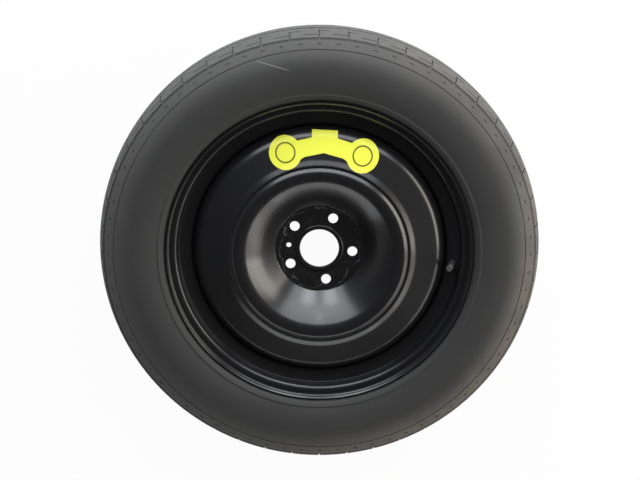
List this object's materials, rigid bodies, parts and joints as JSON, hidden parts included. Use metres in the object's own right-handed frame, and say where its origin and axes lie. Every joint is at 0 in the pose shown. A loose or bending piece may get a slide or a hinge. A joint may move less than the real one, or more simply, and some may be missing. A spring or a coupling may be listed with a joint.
{
  "type": "space saver spare wheel",
  "caption": "Narrow temporary spare wheel: black pressed steel disc welded in a drop-centre rim, with a slim tubeless tyre, rubber snap-in valve and yellow label",
  "frame": {"origin": "centre of the hub mounting face, on the wheel's axle line", "axes": "+Z along the axle, out of the side that shows when the wheel is on a car; +X to the right in the picture; +Y towards the label's side. The wheel lies on its inboard sidewall."},
  "size_m": [0.714, 0.714, 0.15],
  "materials": {
    "tyre": "matt, slightly dusty",
    "rim": "gloss black",
    "wheel_disc": "gloss black",
    "weld_beads": "painted over, rough",
    "valve_body": "matt",
    "valve_stem": "bright",
    "core_body": "bright",
    "core_seal": "plain",
    "core_pin": "bright",
    "core_spring": "plain",
    "valve_cap": "satin",
    "cap_seal": "matt",
    "label": "satin vinyl"
  },
  "bodies": {
    "wheel": {"tyre": "tyre", "rim": "rim", "wheel_disc": "wheel_disc", "weld_beads": "weld_beads", "valve_body": "valve_body", "valve_stem": "valve_stem", "core_body": "core_body", "core_seal": "core_seal", "core_spring": "core_spring", "label": "label"},
    "pin": {"core_pin": "core_pin"},
    "cap": {"valve_cap": "valve_cap", "cap_seal": "cap_seal"}
  },
  "joints": [
    {"name": "cap_off", "type": "slide", "parent": "wheel", "child": "cap", "axis": [-0.2404, 0.027, 0.9703], "range_m": [0, 0.016]},
    {"name": "pin_press", "type": "slide", "parent": "wheel", "child": "pin", "axis": [0.2404, -0.027, -0.9703], "range_m": [0, 0.001], "stiffness_N_per_m": 800, "springref_m": -0.003, "deforming": ["core_spring"]}
  ]
}
